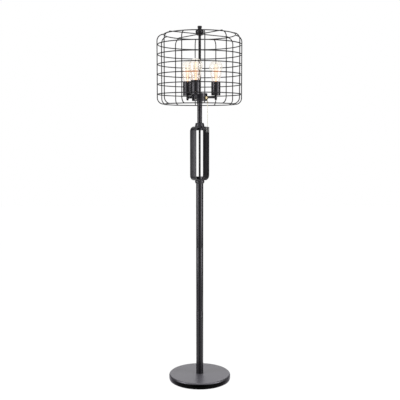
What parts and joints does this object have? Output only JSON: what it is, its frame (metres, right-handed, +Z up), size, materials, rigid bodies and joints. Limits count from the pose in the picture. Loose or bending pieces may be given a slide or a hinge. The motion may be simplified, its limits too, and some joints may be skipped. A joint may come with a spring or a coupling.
{
  "type": "floor lamp",
  "caption": "Floor lamp with a round weighted base, a pole with an open strap loop, upright bulbs on arms round a small drum, and an open wire cage shade held by a finial.",
  "frame": {"origin": "centre of the base on the floor", "axes": "+Z up along the pole, -Y towards the front of the lamp as pictured"},
  "size_m": [0.3672, 0.3672, 1.5521],
  "materials": {
    "base_enamel": "satin dark bronze powder coat",
    "pole_enamel": "satin dark bronze powder coat on drawn tube",
    "strap_enamel": "satin charcoal enamel on steel strap",
    "collar_enamel": "satin dark bronze enamel on turned collars",
    "hub_enamel": "satin black enamel on the cluster body",
    "socket_enamel": "satin black enamel on the socket cups",
    "wire_enamel": "satin black enamel on steel wire",
    "rod_enamel": "satin black enamel on steel rod",
    "finial_bronze": "satin bronze enamel on turned finial",
    "cast_weight": "raw casting, dull",
    "base_felt": "black felt",
    "zinc_steel": "zinc plated steel",
    "thread_steel": "threaded zinc plated steel pipe",
    "bush_aluminium": "turned, plain",
    "plated_brass": "polished brass",
    "chain_brass": "bright brass ball chain",
    "bushing_plastic": "black nylon",
    "phenolic": "black phenolic moulding",
    "porcelain_black": "black glazed ceramic",
    "fob_plastic": "dark turned fob",
    "shell_aluminium": "pressed aluminium screw shell",
    "contact_brass": "brass spring contact",
    "cap_metal": "nickel plated bulb cap",
    "clear_glass": "clear bulb glass",
    "glass_stem": "glass stem with amber glowing filament"
  },
  "bodies": {
    "stand": {"arm_front": "hub_enamel", "arm_left": "hub_enamel", "arm_nuts": "zinc_steel", "arm_right": "hub_enamel", "base_cover": "base_enamel", "base_lock_nut": "zinc_steel", "base_pad": "base_felt", "base_washer": "zinc_steel", "base_weight": "cast_weight", "cage_seat": "wire_enamel", "centre_contacts": "contact_brass", "centre_rod": "rod_enamel", "cluster_body": "hub_enamel", "cluster_cover": "hub_enamel", "cord_bushing": "bushing_plastic", "hub_nuts": "zinc_steel", "lamp_pipe_nipples": "thread_steel", "lampholder_front": "porcelain_black", "lampholder_left": "porcelain_black", "lampholder_right": "porcelain_black", "loop_nuts": "collar_enamel", "loop_rod": "rod_enamel", "lower_collar": "collar_enamel", "nozzle_nut": "plated_brass", "pole_end_bushes": "bush_aluminium", "pole_lower": "pole_enamel", "pole_middle": "pole_enamel", "pole_upper": "pole_enamel", "screw_shells": "shell_aluminium", "socket_cup_front": "socket_enamel", "socket_cup_left": "socket_enamel", "socket_cup_right": "socket_enamel", "socket_nipples": "thread_steel", "socket_nuts": "socket_enamel", "stem_coupling": "collar_enamel", "strap_loop": "strap_enamel", "switch_case": "phenolic", "switch_nozzle": "plated_brass", "upper_collar": "collar_enamel", "upper_stem": "collar_enamel"},
    "cage": {"cage_end_rings": "wire_enamel", "cage_hoops": "wire_enamel", "cage_ribs": "wire_enamel", "cage_spider": "wire_enamel"},
    "finial": {"finial": "finial_bronze"},
    "bulb_front": {"bulb_cap_front": "cap_metal", "bulb_glass_front": "clear_glass", "bulb_mount_front": "glass_stem"},
    "bulb_right": {"bulb_cap_right": "cap_metal", "bulb_glass_right": "clear_glass", "bulb_mount_right": "glass_stem"},
    "bulb_left": {"bulb_cap_left": "cap_metal", "bulb_glass_left": "clear_glass", "bulb_mount_left": "glass_stem"},
    "switch_chain": {"switch_chain": "chain_brass"},
    "hanging_chain": {"pull_chain": "chain_brass", "chain_fob": "fob_plastic"},
    "chain_tail": {"chain_tail": "chain_brass"},
    "switch_lever": {"switch_lever": "contact_brass"}
  },
  "joints": [
    {"name": "cage_lift", "type": "slide", "parent": "stand", "child": "cage", "axis": [0, 0, 1], "range_m": [0, 0.32]},
    {"name": "finial_unscrew", "type": "slide", "parent": "cage", "child": "finial", "axis": [0, 0, 1], "range_m": [0, 0.02]},
    {"name": "bulb_front_unscrew", "type": "slide", "parent": "stand", "child": "bulb_front", "axis": [0, 0, 1], "range_m": [0, 0.048]},
    {"name": "bulb_right_unscrew", "type": "slide", "parent": "stand", "child": "bulb_right", "axis": [0, 0, 1], "range_m": [0, 0.048]},
    {"name": "bulb_left_unscrew", "type": "slide", "parent": "stand", "child": "bulb_left", "axis": [0, 0, 1], "range_m": [0, 0.048]},
    {"name": "chain_pull", "type": "slide", "parent": "stand", "child": "switch_chain", "axis": [0, 0, -1], "range_m": [0, 0.008], "stiffness_N_per_m": 1200, "springref_m": -0.002},
    {"name": "chain_swing", "type": "hinge", "parent": "switch_chain", "child": "hanging_chain", "pos_m": [0.03364, -0.03137, 1.227], "axis": [0.7314, -0.682, 0], "range_deg": [-20, 20]},
    {"name": "tail_slide", "type": "slide", "parent": "stand", "child": "chain_tail", "axis": [0.7314, -0.682, 0], "range_m": [0, 0.008]},
    {"name": "lever_turn", "type": "hinge", "parent": "stand", "child": "switch_lever", "pos_m": [0.00821, -0.01613, 1.2498], "axis": [0, 0, 1], "range_deg": [-55.5, 0]}
  ],
  "couplings": [
    {"joint": "tail_slide", "follows": "chain_pull", "ratio": 1},
    {"joint": "lever_turn", "follows": "chain_pull", "rad_per_m": -120.94}
  ]
}
